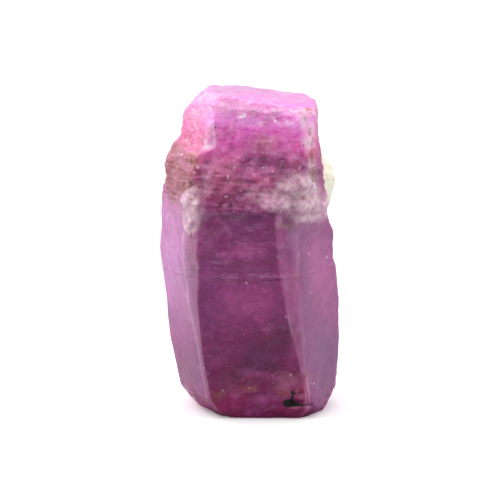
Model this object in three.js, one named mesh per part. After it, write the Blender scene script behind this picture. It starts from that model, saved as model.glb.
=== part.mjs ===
// A raw ruby: one stout six-sided crystal of corundum, standing upright on its broken foot.
// A smooth lower prism carries a rough band under a pale mineral crust, and a smaller etched
// block with a flat, slightly tilted crown grows out of the band. It all grew as one piece.
// Millimetres, +Z up along the crystal's long axis, the front face towards -Y. The origin is
// under the middle of the crystal, on the surface that it stands on.

import * as THREE from 'three';

// Driving dimensions.
const height = 21; // foot to crown, at the axis
const apothem = 5; // axis to a face of the lower prism
const surfaceTurn = -3; // degrees that the whole prism is turned from square to the front

// The levels that shape the crystal, from the foot up, as shares of the height. A level leans:
// it rises by leanX and leanY for each millimetre along X and Y, and wanders by up to wander
// millimetres round the crystal. rows is the number of mesh rows up to the next level.
const levels = [
  { name: 'foot', at: 0, leanX: 0, leanY: 0, wander: 0, rows: 2 },
  { name: 'heel', at: 0.024, leanX: 0, leanY: 0, wander: 0.1, rows: 2 },
  { name: 'hip', at: 0.067, leanX: 0, leanY: 0, wander: 0.25, rows: 6 },
  { name: 'low', at: 0.219, leanX: 0, leanY: 0, wander: 0.3, rows: 4 },
  { name: 'belly', at: 0.352, leanX: 0, leanY: 0, wander: 0.3, rows: 4 },
  { name: 'waist', at: 0.495, leanX: -0.03, leanY: 0, wander: 0.3, rows: 6 },
  { name: 'prismTop', at: 0.64, leanX: -0.08, leanY: -0.08, wander: 0.22, rows: 1 },
  { name: 'bandFoot', at: 0.652, leanX: -0.08, leanY: -0.08, wander: 0.22, rows: 8 },
  { name: 'bandTop', at: 0.828, leanX: 0.04, leanY: 0, wander: 0.2, rows: 2 },
  { name: 'blockFoot', at: 0.858, leanX: 0.04, leanY: 0, wander: 0.2, rows: 4 },
  { name: 'shoulder', at: 0.924, leanX: -0.03, leanY: 0, wander: 0.2, rows: 4 },
  { name: 'rim', at: 0.966, leanX: -0.1, leanY: -0.03, wander: 0.16, rows: 3 },
  { name: 'crown', at: 0.996, leanX: -0.15, leanY: -0.03, wander: 0.06, rows: 4 },
];

// The faces, seen from above and counted anticlockwise from the front. azimuth is where a face
// looks, in degrees from +X. out is its distance from the axis at each level, in hundredths of
// the apothem. The narrow faces blunt the edges between the six broad ones.
const faces = [
  { name: 'front', azimuth: -90, columns: 16,
    out: [84, 91, 95, 98, 98.5, 99, 98, 100, 94, 91.5, 89, 81.5, 68.5] },
  { name: 'frontRightEdge', azimuth: -60, columns: 4,
    out: [106, 116.5, 121, 117, 111, 106, 102.5, 107, 118, 113, 111, 103, 88] },
  { name: 'rightFront', azimuth: -30, columns: 11,
    out: [103, 113, 117, 111, 105, 100, 97, 101, 114, 107, 105.5, 102, 93] },
  { name: 'right', azimuth: 1, columns: 6,
    out: [96, 101, 112, 117, 117.5, 110, 99, 96, 88, 85.5, 85.5, 85, 84] },
  { name: 'rightBack', azimuth: 30, columns: 11,
    out: [84, 91, 99, 103, 104, 103, 99, 98, 98, 97, 96, 94, 92] },
  { name: 'back', azimuth: 90, columns: 14,
    out: [78, 88, 95, 99, 100, 99, 97, 98, 92, 86, 84, 78, 68] },
  { name: 'backLeftEdge', azimuth: 121, columns: 4,
    out: [86.5, 99, 106, 110, 112, 109, 108, 107, 102, 97, 94, 86, 69] },
  { name: 'leftBack', azimuth: 150, columns: 11,
    out: [75, 85, 93, 100, 103, 110, 104, 103, 98, 90, 86, 74, 56] },
  { name: 'left', azimuth: 181, columns: 6,
    out: [70, 83, 93, 106.5, 110, 119.5, 117, 115.5, 103, 90, 88, 71, 54.5] },
  { name: 'leftFront', azimuth: 211, columns: 11,
    out: [65, 81.5, 92.5, 103.5, 113, 118, 117.5, 117, 112, 91.5, 88, 81, 67.5] },
  { name: 'frontLeftEdge', azimuth: 240, columns: 4,
    out: [80, 97.5, 106.5, 114.5, 117.5, 118.5, 116.5, 119, 116, 100, 99, 91.5, 75.5] },
];

// Lumps and hollows on the skin, each placed by its azimuth in degrees and its height as a
// share of the crystal's. across and up are its half sizes and rise is how far it stands out.
const lumps = [
  // the pale crust on the right of the band
  { name: 'crustBrow', azimuth: -57, at: 0.742, across: 1.5, up: 0.9, rise: 0.34 },
  { name: 'crustLip', azimuth: -51, at: 0.678, across: 1.3, up: 0.75, rise: 0.42 },
  { name: 'crustTongue', azimuth: -74, at: 0.682, across: 1.4, up: 0.6, rise: 0.3 },
  { name: 'crustHeel', azimuth: -33, at: 0.668, across: 1.4, up: 0.8, rise: 0.34 },
  // the crust on the left edge of the band
  { name: 'leftCrustTop', azimuth: -132, at: 0.69, across: 0.9, up: 1.0, rise: 0.2 },
  { name: 'leftCrustFoot', azimuth: -132, at: 0.625, across: 0.75, up: 1.1, rise: 0.16 },
  // the cream matrix that clings behind the right edge, and more of it at the back
  { name: 'creamKnob', azimuth: 7, at: 0.707, across: 1.75, up: 2.2, rise: 0.76 },
  { name: 'creamKnobTop', azimuth: 19, at: 0.75, across: 1.4, up: 1.1, rise: 0.24 },
  { name: 'creamKnobBack', azimuth: 33, at: 0.66, across: 1.7, up: 0.9, rise: 0.42 },
  { name: 'backCrust', azimuth: 112, at: 0.71, across: 1.8, up: 0.9, rise: 0.36 },
  { name: 'backCrustTail', azimuth: 139, at: 0.66, across: 1.2, up: 0.7, rise: 0.26 },
  // swellings of the right edge of the lower prism and of the left shoulder
  { name: 'rightSwell', azimuth: -4, at: 0.555, across: 1.6, up: 0.8, rise: 0.2 },
  { name: 'leftShoulder', azimuth: 196, at: 0.79, across: 1.8, up: 1.3, rise: 0.2 },
];
const hollows = [
  // the black cavity in the foot, with a spur above it and a tail to the right
  { name: 'blackCavity', azimuth: -59.5, at: 0.05, across: 0.62, up: 0.36, rise: -0.42 },
  { name: 'cavitySpur', azimuth: -57, at: 0.084, across: 0.22, up: 0.34, rise: -0.2 },
  { name: 'cavityTail', azimuth: -51, at: 0.043, across: 0.55, up: 0.14, rise: -0.2 },
  // notches, recesses and chips elsewhere
  { name: 'edgeNotch', azimuth: -13, at: 0.627, across: 0.6, up: 0.36, rise: -0.6 },
  { name: 'edgeBlock', azimuth: -66, at: 0.63, across: 0.75, up: 0.55, rise: -0.2 },
  { name: 'darkRecess', azimuth: -84, at: 0.8, across: 1.8, up: 0.5, rise: -0.18 },
  { name: 'footChip', azimuth: -12, at: 0.07, across: 1.1, up: 0.8, rise: -0.26 },
  { name: 'leftScoop', azimuth: 204, at: 0.86, across: 1.2, up: 0.6, rise: -0.18 },
  { name: 'waistScoop', azimuth: 0, at: 0.475, across: 1.5, up: 0.7, rise: -0.16 },
  { name: 'backScar', azimuth: 75, at: 0.43, across: 2.2, up: 1.2, rise: -0.26 },
  { name: 'backScarTail', azimuth: 96, at: 0.38, across: 1.5, up: 0.7, rise: -0.2 },
  { name: 'backHeelChip', azimuth: 140, at: 0.07, across: 2.2, up: 1.2, rise: -0.35 },
  { name: 'backHeelNick', azimuth: 122, at: 0.13, across: 1.1, up: 0.6, rise: -0.2 },
];

// The broken texture: how rough the skin is at each level, and the sizes of its breaks.
const roughness = [0.4, 0.6, 0.25, 0.1, 0.08, 0.12, 0.45, 1, 0.9, 0.6, 0.5, 0.7, 0.4];
const blockSize = 1.5;
const blockDepth = 0.5;
const grainSize = 0.75;
const grainDepth = 0.2;
const swellSize = 3.2;
const swellDepth = 0.14;
const crownRelief = 0.7; // the share of the relief that the crown keeps

// Corundum breaks along three planes, a third of a turn apart. partingTilt is how many degrees
// their normals lean from upright, and usualReach is the middle size of a broken block in cells.
const partingAzimuths = [27, 147, 267];
const partingTilt = 57.6;
const usualReach = 0.35;

const rubyColour = 0x9a4c88;
const rubyRoughness = 0.35;

const radians = THREE.MathUtils.degToRad;
const lerp = THREE.MathUtils.lerp;

// A fixed number from 0 to 1 for each cell of a lattice.
const hashWeights = [127.1, 311.7, 74.7, 53.3];
const hashGain = 43758.5453;
function hash(i, j, k, seed) {
  const [a, b, c, d] = hashWeights;
  const s = Math.sin(i * a + j * b + k * c + seed * d) * hashGain;
  return s - Math.floor(s);
}

// Smooth noise from -1 to 1, which changes over about size millimetres.
function smoothNoise(point, size, seed) {
  const scaled = point.clone().divideScalar(size);
  const cell = scaled.clone().floor();
  const part = scaled.sub(cell);
  const ease = (t) => t * t * (3 - 2 * t);
  const [u, v, w] = [ease(part.x), ease(part.y), ease(part.z)];
  const corner = (i, j, k) => hash(cell.x + i, cell.y + j, cell.z + k, seed);
  const row = (j, k) => lerp(corner(0, j, k), corner(1, j, k), u);
  return 2 * lerp(lerp(row(0, 0), row(1, 0), v), lerp(row(0, 1), row(1, 1), v), w) - 1;
}

const partingNormals = partingAzimuths.map((azimuth) => new THREE.Vector3(
  Math.sin(radians(partingTilt)) * Math.cos(radians(azimuth)),
  Math.sin(radians(partingTilt)) * Math.sin(radians(azimuth)),
  Math.cos(radians(partingTilt)),
));

// How far a point is from the nearest of a scatter of seeds, one to each cell of size
// millimetres, in cells and as the largest distance across the parting planes. So the points at
// one distance from a seed lie on a block with flat sides.
function blockReach(point, size, seed) {
  const scaled = point.clone().divideScalar(size);
  const cell = scaled.clone().floor();
  const near = new THREE.Vector3();
  let least = Infinity;
  for (const i of [-1, 0, 1]) {
    for (const j of [-1, 0, 1]) {
      for (const k of [-1, 0, 1]) {
        const [x, y, z] = [cell.x + i, cell.y + j, cell.z + k];
        near.set(x + hash(x, y, z, seed), y + hash(x, y, z, seed + 1), z + hash(x, y, z, seed + 2));
        near.sub(scaled);
        least = Math.min(least, Math.max(...partingNormals.map((n) => Math.abs(n.dot(near)))));
      }
    }
  }
  return least;
}

// The value between two neighbours of a list, at a place such as 3.25.
function between(values, place) {
  const i = Math.min(Math.floor(place), values.length - 2);
  return lerp(values[i], values[i + 1], place - i);
}

// The corner where two neighbouring faces meet, at a place between two levels.
function cornerOf(before, after, place) {
  const a = radians(before.azimuth + surfaceTurn);
  const b = radians(after.azimuth + surfaceTurn);
  const da = between(before.out, place) * apothem / 100;
  const db = between(after.out, place) * apothem / 100;
  const x = da * Math.sin(b) - db * Math.sin(a);
  const y = db * Math.cos(a) - da * Math.cos(b);
  return new THREE.Vector2(x, y).divideScalar(Math.sin(b - a));
}

// The section's outline at a place between two levels: its corners, with the columns between.
function sectionAt(place) {
  const corners = faces.map((face, i) => cornerOf(faces.at(i - 1), face, place));
  return faces.flatMap((face, i) => {
    const next = corners[(i + 1) % faces.length];
    return Array.from({ length: face.columns }, (_, c) =>
      corners[i].clone().lerp(next, c / face.columns));
  });
}

// The height of the skin at a place between two levels, over x and y.
function heightAt(place, x, y) {
  const at = between(levels.map((level) => level.at), place) * height;
  const leanX = between(levels.map((level) => level.leanX), place);
  const leanY = between(levels.map((level) => level.leanY), place);
  const wander = between(levels.map((level) => level.wander), place);
  const around = new THREE.Vector3(x, y, 0);
  return at + leanX * x + leanY * y + wander * smoothNoise(around, apothem / 2, 3);
}

// The place between two levels that lies at a share of the height.
function placeOf(at) {
  const i = levels.findLastIndex((level) => level.at <= at);
  return i + (at - levels[i].at) / (levels[i + 1].at - levels[i].at);
}

// The point of the plain skin in the direction of an azimuth, at a share of the height.
function skinPoint(azimuth, at) {
  const place = placeOf(at);
  const reaches = faces.map((face) => {
    const turn = Math.cos(radians(azimuth - face.azimuth - surfaceTurn));
    return turn > 0 ? between(face.out, place) * apothem / 100 / turn : Infinity;
  });
  const reach = Math.min(...reaches);
  const angle = radians(azimuth);
  return new THREE.Vector3(reach * Math.cos(angle), reach * Math.sin(angle), at * height);
}

// How much of a lump or hollow there is at a point: 1 at its middle, 0 past its edge.
function share(feature, point) {
  const level = Math.hypot(point.x - feature.middle.x, point.y - feature.middle.y);
  const away = Math.hypot(level / feature.across, (point.z - feature.middle.z) / feature.up);
  return away < 1 ? (1 - away ** 2) ** 2 : 0;
}

const features = [...lumps, ...hollows].map((feature) => ({
  ...feature, middle: skinPoint(feature.azimuth, feature.at),
}));

// How far the skin stands out from the plain faces at a point, in millimetres.
function relief(point, place) {
  const rough = between(roughness, place);
  const blocks = blockDepth * (blockReach(point, blockSize, 11) - usualReach);
  const grains = grainDepth * (usualReach - blockReach(point, grainSize, 23));
  const swell = swellDepth * smoothNoise(point, swellSize, 31);
  const placed = features.reduce((sum, f) => sum + f.rise * share(f, point), 0);
  return swell + rough * (blocks + grains) + placed;
}

// The rows of the skin, from the foot's rim to the crown's rim and on to the crown's middle.
// Each row is a ring of points on the plain faces, with its place between two levels.
function skinRows() {
  const rows = [];
  levels.slice(0, -1).forEach((level, i) => {
    for (let r = 0; r < level.rows; r += 1) {
      rows.push({ place: i + r / level.rows, reach: 1 });
    }
  });
  const crown = levels.at(-1);
  for (let r = 0; r < crown.rows; r += 1) {
    rows.push({ place: levels.length - 1, reach: 1 - r / crown.rows });
  }
  return rows.map(({ place, reach }) => ({
    place,
    reach,
    ring: sectionAt(place).map(({ x, y }) =>
      new THREE.Vector3(x * reach, y * reach, heightAt(place, x * reach, y * reach))),
  }));
}

// Two triangles for each cell between neighbouring rows, and a fan to close each end.
function skinTriangles(rowCount, columnCount) {
  const triangles = [];
  const foot = rowCount * columnCount;
  const crown = foot + 1;
  for (let c = 0; c < columnCount; c += 1) {
    const next = (c + 1) % columnCount;
    for (let r = 0; r < rowCount - 1; r += 1) {
      const [a, b] = [r * columnCount + c, r * columnCount + next];
      const [d, e] = [a + columnCount, b + columnCount];
      triangles.push(a, b, e, a, e, d);
    }
    const last = (rowCount - 1) * columnCount;
    triangles.push(foot, next, c, crown, last + c, last + next);
  }
  return triangles;
}

// The crystal's skin: the plain faces first, then each point moved out along the skin's own
// normal by the relief. The foot's rim stays on the ground, so that the foot is flat.
function crystalGeometry() {
  const rows = skinRows();
  const columnCount = rows[0].ring.length;
  const points = rows.flatMap((row) => row.ring);
  const top = new THREE.Vector3(0, 0, heightAt(levels.length - 1, 0, 0));
  points.push(new THREE.Vector3(), top);
  const geometry = new THREE.BufferGeometry().setFromPoints(points);
  geometry.setIndex(skinTriangles(rows.length, columnCount));
  geometry.computeVertexNormals();

  const position = geometry.getAttribute('position');
  const normal = new THREE.Vector3();
  rows.forEach((row, r) => {
    const calm = row.reach < 1 ? crownRelief : 1;
    row.ring.forEach((point, c) => {
      const i = r * columnCount + c;
      normal.fromBufferAttribute(geometry.getAttribute('normal'), i);
      const moved = point.clone().addScaledVector(normal, calm * relief(point, row.place));
      position.setXYZ(i, moved.x, moved.y, row.place === 0 ? 0 : Math.max(moved.z, 0));
    });
  });
  const crownPlace = levels.length - 1;
  position.setZ(points.length - 1, top.z + crownRelief * relief(top, crownPlace));
  geometry.computeBoundingBox();
  const middle = geometry.boundingBox.getCenter(new THREE.Vector3());
  geometry.translate(-middle.x, -middle.y, 0);
  geometry.computeVertexNormals();
  return geometry;
}

const ruby = new THREE.Mesh(
  crystalGeometry(),
  new THREE.MeshStandardMaterial({
    name: 'ruby', color: rubyColour, roughness: rubyRoughness, metalness: 0, flatShading: true,
  }),
);
ruby.name = 'ruby_crystal';

const specimen = new THREE.Group();
specimen.name = 'raw_ruby';
specimen.add(ruby);

export default specimen;
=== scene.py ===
# A raw ruby standing upright on a pale studio floor.
# The tables are in millimetres; the mesh goes down in metres, in the part's own frame.
import math
import bpy
import numpy as np
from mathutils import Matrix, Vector


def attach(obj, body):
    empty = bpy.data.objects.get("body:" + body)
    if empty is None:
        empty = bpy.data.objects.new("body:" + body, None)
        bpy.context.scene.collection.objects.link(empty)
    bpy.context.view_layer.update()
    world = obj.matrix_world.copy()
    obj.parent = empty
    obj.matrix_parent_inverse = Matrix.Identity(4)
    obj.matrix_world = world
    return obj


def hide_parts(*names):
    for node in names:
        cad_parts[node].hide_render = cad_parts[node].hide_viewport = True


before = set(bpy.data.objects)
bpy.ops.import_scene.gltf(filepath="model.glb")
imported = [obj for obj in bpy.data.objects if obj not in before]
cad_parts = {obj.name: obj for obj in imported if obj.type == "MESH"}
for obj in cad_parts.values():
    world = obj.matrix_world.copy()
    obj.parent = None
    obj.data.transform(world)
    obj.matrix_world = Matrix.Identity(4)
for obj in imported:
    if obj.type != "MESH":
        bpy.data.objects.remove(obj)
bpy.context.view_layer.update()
print("frame loaded:", sorted(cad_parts))

mm = 0.001


# cell value: the fraction of sin(127.1 i + 311.7 j + 74.7 k + 53.3 seed) * 43758.5453
def cellValue(i, j, k, seed):
    s = np.sin(i * 127.1 + j * 311.7 + k * 74.7 + seed * 53.3) * 43758.5453
    return s - np.floor(s)


# smooth noise from -1 to 1: cell values blended with 3t^2 - 2t^3 along each axis
def smoothNoise(points, size, seed):
    scaled = points / np.asarray(size, float)
    cell = np.floor(scaled)
    t = scaled - cell
    t = t * t * (3 - 2 * t)
    total = 0
    for i in (0, 1):
        for j in (0, 1):
            for k in (0, 1):
                weight = np.abs(1 - i - t[..., 0]) * np.abs(1 - j - t[..., 1]) * np.abs(1 - k - t[..., 2])
                corner = cellValue(cell[..., 0] + i, cell[..., 1] + j, cell[..., 2] + k, seed)
                total = total + weight * corner
    return 2 * total - 1


# smooth noise in three octaves, each half the size and strength of the one before
def cloudNoise(points, size, seed):
    size = np.asarray(size, float)
    total = sum(smoothNoise(points, size / 2 ** o, seed + 7 * o) / 2 ** o for o in range(3))
    return total / (1 + 1 / 2 + 1 / 4)


# distance to the nearest of one seed per cell, in cells, by the rule `reach`
def seedDistance(points, size, seed, reach):
    scaled = points / size
    cell = np.floor(scaled)
    least = np.full(points.shape[:-1], 9.0)
    for i in (-1, 0, 1):
        for j in (-1, 0, 1):
            for k in (-1, 0, 1):
                x, y, z = cell[..., 0] + i, cell[..., 1] + j, cell[..., 2] + k
                near = np.stack([x + cellValue(x, y, z, seed), y + cellValue(x, y, z, seed + 1),
                                 z + cellValue(x, y, z, seed + 2)], axis=-1)
                least = np.minimum(least, reach(scaled - near))
    return least


# corundum parts along three planes, 120 degrees apart and 57.6 degrees from level
partingTilt = math.radians(57.6)
partingNormals = np.array([(math.sin(partingTilt) * math.cos(a), math.sin(partingTilt) * math.sin(a),
                            math.cos(partingTilt)) for a in np.radians([27, 147, 267])])


# a block's reach: the largest of its distances along the three normals
def blockReach(offset):
    return np.abs(offset @ partingNormals.T).max(axis=-1)


# a grain's reach: the plain distance
def roundReach(offset):
    return np.linalg.norm(offset, axis=-1)


# 3t^2 - 2t^3 between the two values, of which the first, where it is 0, may be the higher one
def smoothStep(low, high, value):
    t = np.clip((value - low) / (high - low), 0, 1)
    return t * t * (3 - 2 * t)


# the crystal, by the same tables and formulas as the solid, on a finer grid
ruby = {
    "height": 21.0,  # foot to crown at the axis
    "apothem": 5.0,  # axis to a face of the lower prism
    "turn": -3.0,  # degrees the prism is turned from square to the front
    "columnsPerStep": 4,  # finer than the solid by this much round the crystal
    # level, share of the height, rise per mm along x and y, wander, rows up to the next one
    "levels": [
        ("foot", 0, 0, 0, 0, 8),
        ("heel", 0.024, 0, 0, 0.1, 10),
        ("hip", 0.067, 0, 0, 0.25, 24),
        ("low", 0.219, 0, 0, 0.3, 22),
        ("belly", 0.352, 0, 0, 0.3, 22),
        ("waist", 0.495, -0.03, 0, 0.3, 28),
        ("prismTop", 0.64, -0.08, -0.08, 0.22, 4),
        ("bandFoot", 0.652, -0.08, -0.08, 0.22, 50),
        ("bandTop", 0.828, 0.04, 0, 0.2, 5),
        ("blockFoot", 0.858, 0.04, 0, 0.2, 18),
        ("shoulder", 0.924, -0.03, 0, 0.2, 14),
        ("rim", 0.966, -0.1, -0.03, 0.16, 9),
        ("crown", 0.996, -0.15, -0.03, 0.06, 18),
    ],
    # face, where it looks in degrees, steps, distance from the axis in hundredths of the apothem
    "faces": [
        ("front", -90, 16, [84, 91, 95, 98, 98.5, 99, 98, 100, 94, 91.5, 89, 81.5, 68.5]),
        ("frontRightEdge", -60, 4, [106, 116.5, 121, 117, 111, 106, 102.5, 107, 118, 113, 111, 103, 88]),
        ("rightFront", -30, 11, [103, 113, 117, 111, 105, 100, 97, 101, 114, 107, 105.5, 102, 93]),
        ("right", 1, 6, [96, 101, 112, 117, 117.5, 110, 99, 96, 88, 85.5, 85.5, 85, 84]),
        ("rightBack", 30, 11, [84, 91, 99, 103, 104, 103, 99, 98, 98, 97, 96, 94, 92]),
        ("back", 90, 14, [78, 88, 95, 99, 100, 99, 97, 98, 92, 86, 84, 78, 68]),
        ("backLeftEdge", 121, 4, [86.5, 99, 106, 110, 112, 109, 108, 107, 102, 97, 94, 86, 69]),
        ("leftBack", 150, 11, [75, 85, 93, 100, 103, 110, 104, 103, 98, 90, 86, 74, 56]),
        ("left", 181, 6, [70, 83, 93, 106.5, 110, 119.5, 117, 115.5, 103, 90, 88, 71, 54.5]),
        ("leftFront", 211, 11, [65, 81.5, 92.5, 103.5, 113, 118, 117.5, 117, 112, 91.5, 88, 81, 67.5]),
        ("frontLeftEdge", 240, 4,
         [80, 97.5, 106.5, 114.5, 117.5, 118.5, 116.5, 119, 116, 100, 99, 91.5, 75.5]),
    ],
    "broken": [0.4, 0.6, 0.25, 0.1, 0.08, 0.12, 0.45, 1, 0.9, 0.6, 0.5, 0.7, 0.4],  # at each level
    "crownCalm": 0.7,  # relief of the crown, to that of the sides
    "wear": 0.06,  # of the long edges, and more where these faces start
    "wornStarts": ("frontLeftEdge", "rightFront", "rightBack", "left"),
    "wornColumns": 9,  # that the wear reaches to each side
    "wearPasses": 36,
    "swell": (0.14, 3.2),  # height and size in mm
    "streaks": (0.034, (1.3, 1.3, 0.22)),
    "fineStreaks": (0.022, (0.7, 0.7, 0.12)),
    "bends": (0.15, 1.1),  # of the streaks
    "faint": (0.03, 0.9),
    "terraces": (0.09, (2.2, 2.2, 1.2)),
    "terraceSteps": 3.2,  # per rise
    "terraceRise": 1.4,
    "terraceLedge": 0.75,  # share of a step that is flat
    # breaks: height and size in mm, and the distance from the seed, in cells, where they cross the skin
    "blocks": (0.5, 1.5, 0.35),
    "chips": (-0.2, 0.75, 0.35),
    "smallBreaks": (0.08, 0.5, 0.35),
    "crumbs": (-0.12, 0.42, 0.45),
    # coats: how much of a feature they need to start and to be full, and how ragged they are
    "coats": {"crust": (0.15, 0.45, 0.4), "cream": (0.04, 0.18, 0.2), "ink": (0.3, 0.5, 0.1)},
    # how much frost is on the narrow faces of the block, and on the edges below it
    "frosted": {"frontLeftEdge": 1.0, "frontRightEdge": 0.9, "rightFront": 0.9, "right": 0.35},
    "frostedEdges": {"frontLeftEdge": 0.18, "frontRightEdge": 0.05},
    "edgeLight": 0.35,
    # zones by place, such as 3.25 for a quarter past the fourth level: where they start and are full
    "zones": {
        "terraced": (8.6, 9.6), "streaky": (4.6, 6.2), "block": (8.5, 9.4), "prism": (8, 7),
        "rim": (9.8, 10.9), "underCrown": (12, 11.7), "lowLeft": (10.5, 10.0), "lowRight": (11.6, 11.0),
        "deepFoot": (7.4, 8.4), "deepTop": (11.9, 11.3)},
    # level lines on the lower prism: height, half width, how far they stand out
    "growthLines": [(9.62, 0.06, 0.05), (9.42, 0.05, -0.04), (9.1, 0.04, 0.02), (10.3, 0.05, -0.025),
                    (10.9, 0.04, 0.025), (11.9, 0.05, -0.03), (6.1, 0.05, 0.02)],
    # lump or hollow: azimuth, share of the height, half width, half height, rise, what coats it
    "features": {
        "crustBrow": (-57, 0.742, 1.5, 0.9, 0.34, "crust"),
        "crustLip": (-51, 0.678, 1.3, 0.75, 0.42, "crust"),
        "crustTongue": (-74, 0.682, 1.4, 0.6, 0.3, "crust"),
        "crustHeel": (-33, 0.668, 1.4, 0.8, 0.34, "crust"),
        "leftCrustTop": (-132, 0.69, 0.9, 1, 0.2, "crust"),
        "leftCrustFoot": (-132, 0.625, 0.75, 1.1, 0.16, "crust"),
        "creamKnob": (7, 0.707, 1.75, 2.2, 0.76, "cream"),
        "creamKnobTop": (19, 0.75, 1.4, 1.1, 0.24, "cream"),
        "creamKnobBack": (33, 0.66, 1.7, 0.9, 0.42, "cream"),
        "backCrust": (112, 0.71, 1.8, 0.9, 0.36, "crust"),
        "backCrustTail": (139, 0.66, 1.2, 0.7, 0.26, "crust"),
        "rightSwell": (-4, 0.555, 1.6, 0.8, 0.2, ""),
        "leftShoulder": (196, 0.79, 1.8, 1.3, 0.2, ""),
        "blackCavity": (-59.5, 0.05, 0.62, 0.36, -0.42, "ink"),
        "cavitySpur": (-57, 0.084, 0.22, 0.34, -0.2, "ink"),
        "cavityTail": (-51, 0.043, 0.55, 0.14, -0.2, "ink"),
        "edgeNotch": (-13, 0.627, 0.6, 0.36, -0.6, ""),
        "edgeBlock": (-66, 0.63, 0.75, 0.55, -0.2, ""),
        "darkRecess": (-84, 0.8, 1.8, 0.5, -0.18, ""),
        "footChip": (-12, 0.07, 1.1, 0.8, -0.26, ""),
        "leftScoop": (204, 0.86, 1.2, 0.6, -0.18, ""),
        "waistScoop": (0, 0.475, 1.5, 0.7, -0.16, ""),
        "backScar": (75, 0.43, 2.2, 1.2, -0.26, ""),
        "backScarTail": (96, 0.38, 1.5, 0.7, -0.2, ""),
        "backHeelNick": (122, 0.13, 1.1, 0.6, -0.2, ""),
        "backHeelChip": (140, 0.07, 2.2, 1.2, -0.35, ""),
    },
}

levelAt = np.array([level[1] for level in ruby["levels"]])
leanX, leanY, wander = (np.array([level[n] for level in ruby["levels"]], float) for n in (2, 3, 4))
azimuths = np.radians([face[1] + ruby["turn"] for face in ruby["faces"]])
reaches = np.array([face[3] for face in ruby["faces"]]) * ruby["apothem"] / 100


# a value per level, read at places such as 3.25: straight lines between the levels
def atPlace(values, places):
    return np.interp(places, np.arange(len(levelAt)), values)


def inZone(name, places):
    return smoothStep(*ruby["zones"][name], places)


# corner k of a section lies on the lines of faces k-1 and k, at distances da and db:
# x = (da sin b - db sin a) / sin(b - a), y = (db cos a - da cos b) / sin(b - a)
def sectionCorners(places):
    out = np.stack([atPlace(reach, places) for reach in reaches])
    b, db = azimuths[:, None], out
    a, da = np.roll(b, 1, axis=0), np.roll(out, 1, axis=0)
    x = (da * np.sin(b) - db * np.sin(a)) / np.sin(b - a)
    y = (db * np.cos(a) - da * np.cos(b)) / np.sin(b - a)
    return np.stack([x, y], axis=-1)


# a ring per place: the corners, with each face cut into even steps between two of them
def sectionRings(places):
    corners = sectionCorners(places)
    rings = []
    for k, face in enumerate(ruby["faces"]):
        steps = face[2] * ruby["columnsPerStep"]
        t = np.arange(steps)[None, :, None] / steps
        rings.append(corners[k][:, None] * (1 - t) + corners[(k + 1) % len(corners)][:, None] * t)
    return np.concatenate(rings, axis=1)


# height = level + leanX x + leanY y + wander * noise(x, y)
def skinHeight(places, x, y):
    flat = np.stack([x, y, np.zeros_like(x)], axis=-1)
    return (atPlace(levelAt, places) * ruby["height"] + atPlace(leanX, places) * x
            + atPlace(leanY, places) * y
            + atPlace(wander, places) * smoothNoise(flat, ruby["apothem"] / 2, seed=3))


# the point of the plain skin in one direction: the nearest face line that the ray meets
def skinPoint(azimuth, share):
    place = np.interp(share, levelAt, np.arange(len(levelAt)))
    angle = math.radians(azimuth)
    reach = min(atPlace(out, place) / math.cos(angle - face)
                for out, face in zip(reaches, azimuths) if math.cos(angle - face) > 0)
    return np.array([reach * math.cos(angle), reach * math.sin(angle), share * ruby["height"]])


# (1 - e^2)^2 inside the feature's oval, e being the distance over the half sizes
def featureShare(name, points):
    azimuth, share, across, up = ruby["features"][name][:4]
    offset = points - skinPoint(azimuth, share)
    e = np.hypot(np.hypot(offset[..., 0], offset[..., 1]) / across, offset[..., 2] / up)
    return np.where(e < 1, (1 - np.minimum(e, 1) ** 2) ** 2, 0)


# height * noise(points / size)
def grain(kind, points, seed, noise=smoothNoise):
    height, size = ruby[kind]
    return height * noise(points, size, seed)


# height * (distance to the nearest seed - middle): out between the seeds, or at them if it is below 0
def seededBreaks(kind, points, seed, reach=blockReach):
    height, size, middle = ruby[kind]
    return height * (seedDistance(points, size, seed, reach) - middle)


# breaks of the solid: blocks stand out between their seeds, smaller chips at theirs
def blockBreaks(points):
    return seededBreaks("blocks", points, seed=11) + seededBreaks("chips", points, seed=23)


# a slow swell and the placed features, also as on the solid
def placedRelief(points):
    placed = sum(f[4] * featureShare(name, points) for name, f in ruby["features"].items())
    return grain("swell", points, seed=31) + placed


# relief too fine for the solid: terraces on the block, level streaks on the band, small breaks;
# a terrace's rise is floor(steps) + a quick climb at the end of each step - steps
def fineRelief(points, places, broken, crust):
    onBlock, onBand = inZone("terraced", places), inZone("streaky", places)
    terraceHeight, terraceSize = ruby["terraces"]
    steps = ruby["terraceSteps"] * (points[..., 2] / ruby["terraceRise"]
                                    + cloudNoise(points, terraceSize, seed=41))
    climb = smoothStep(ruby["terraceLedge"], 1, steps - np.floor(steps))
    terraces = terraceHeight * (np.floor(steps) + climb - steps)
    bent = points + grain("bends", points, seed=42)[..., None]
    streaks = grain("streaks", bent, seed=43) + grain("fineStreaks", bent, seed=44)
    streaks = onBand * (1 - onBlock) * (0.25 + broken) * streaks * (1 - crust)
    level = points[..., 2] + 0.12 * smoothNoise(points, (2.0, 2.0, 9.0), seed=97)
    lines = sum(depth * np.exp(-((level - height) / width) ** 2)
                for height, width, depth in ruby["growthLines"])
    lines = lines * smoothStep(-0.3, 0.4, smoothNoise(points, (1.1, 1.1, 0.5), seed=98))
    return (grain("faint", points, seed=59, noise=cloudNoise) + lines + streaks
            + onBlock * broken * terraces + broken * seededBreaks("smallBreaks", points, seed=47)
            + crust * seededBreaks("crumbs", points, seed=53, reach=roundReach))


# v / its length
def unit(v):
    return v / np.maximum(np.linalg.norm(v, axis=-1, keepdims=True), 1e-9)


# half of each value and a quarter of each neighbour's, round the crystal
def evened(values, axis):
    return (np.roll(values, 1, axis) + 2 * values + np.roll(values, -1, axis)) / 4


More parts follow.
